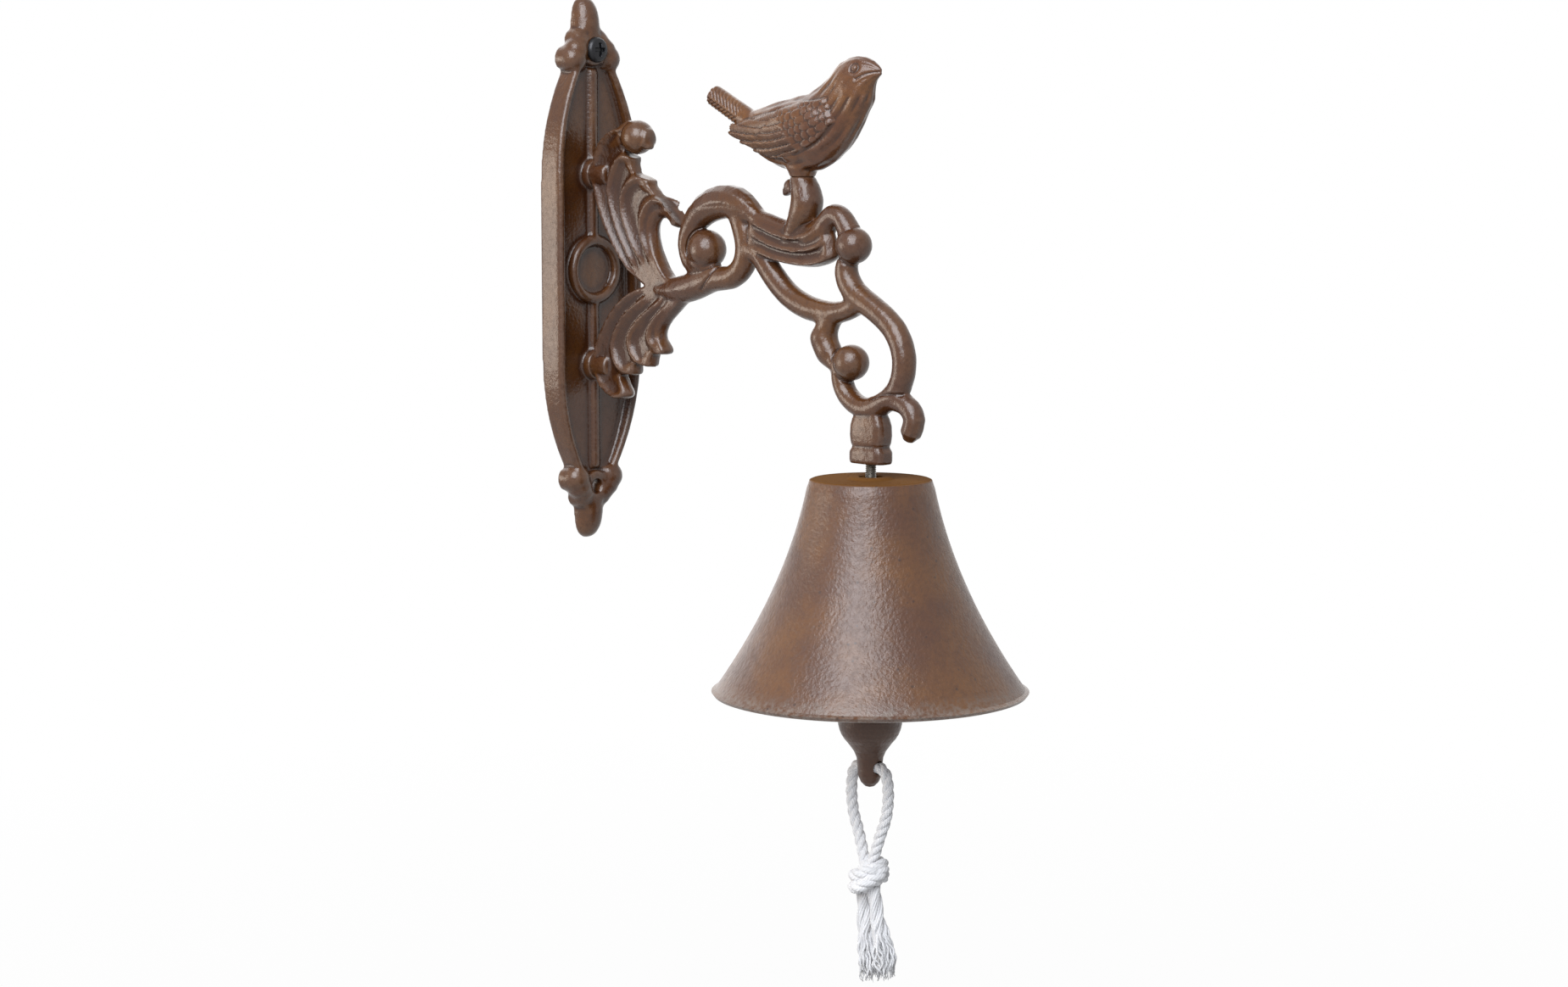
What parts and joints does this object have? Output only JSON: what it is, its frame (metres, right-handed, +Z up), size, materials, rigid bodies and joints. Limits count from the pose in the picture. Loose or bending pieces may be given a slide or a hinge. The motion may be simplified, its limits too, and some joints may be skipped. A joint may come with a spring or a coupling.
{
  "type": "wall mounted bell",
  "caption": "Wall bell of rusted cast iron: an ornate plate and scrolled arm carry a perched wren and a flared bell, rung by a white rope tied through the clapper's tail.",
  "frame": {"origin": "middle of the wall plate's flat back, on the wall", "axes": "+Y into the wall, so that the arm reaches along -Y; +Z up; +X to the right of someone who faces the wall"},
  "size_m": [0.1128, 0.2108, 0.3535],
  "materials": {
    "cast_iron": "rust-brown lacquer, worn light on the ridges",
    "bell_iron": "rust-brown lacquer, half glossy, over a pebbly casting",
    "clapper_iron": "dark brown lacquer",
    "black_steel": "black oxide",
    "zinc_steel": "dulled zinc plate",
    "cotton": "white twisted cotton"
  },
  "bodies": {
    "bracket": {"wall_plate": "cast_iron", "wall_screw": "black_steel", "upper_arm_screw": "black_steel", "lower_arm_screw": "black_steel", "arm": "cast_iron", "bird_stud": "zinc_steel", "bird": "cast_iron", "eye_bolt": "zinc_steel", "bell_washer": "zinc_steel", "bell_nut": "zinc_steel", "lock_nut": "zinc_steel"},
    "bell": {"bell": "bell_iron"},
    "clapper_link": {"clapper_link": "zinc_steel"},
    "clapper": {"clapper": "clapper_iron"},
    "rope": {"rope_loop": "cotton", "rope_knot": "cotton", "rope_tail_left": "cotton", "rope_tail_right": "cotton"}
  },
  "joints": [
    {"name": "bell_turn", "type": "hinge", "parent": "bracket", "child": "bell", "pos_m": [0, -0.1465, -0.07], "axis": [0, 0, 1], "continuous": true},
    {"name": "link_swing", "type": "hinge", "parent": "bracket", "child": "clapper_link", "pos_m": [0, -0.1465, -0.0929], "axis": [1, 0, 0], "range_deg": [-33, 33]},
    {"name": "clapper_swing", "type": "hinge", "parent": "clapper_link", "child": "clapper", "pos_m": [0, -0.1465, -0.1009], "axis": [0, 1, 0], "range_deg": [-10, 10]},
    {"name": "rope_swing", "type": "hinge", "parent": "clapper", "child": "rope", "pos_m": [0, -0.1465, -0.1719], "axis": [0, 1, 0], "range_deg": [-75, 75]}
  ]
}
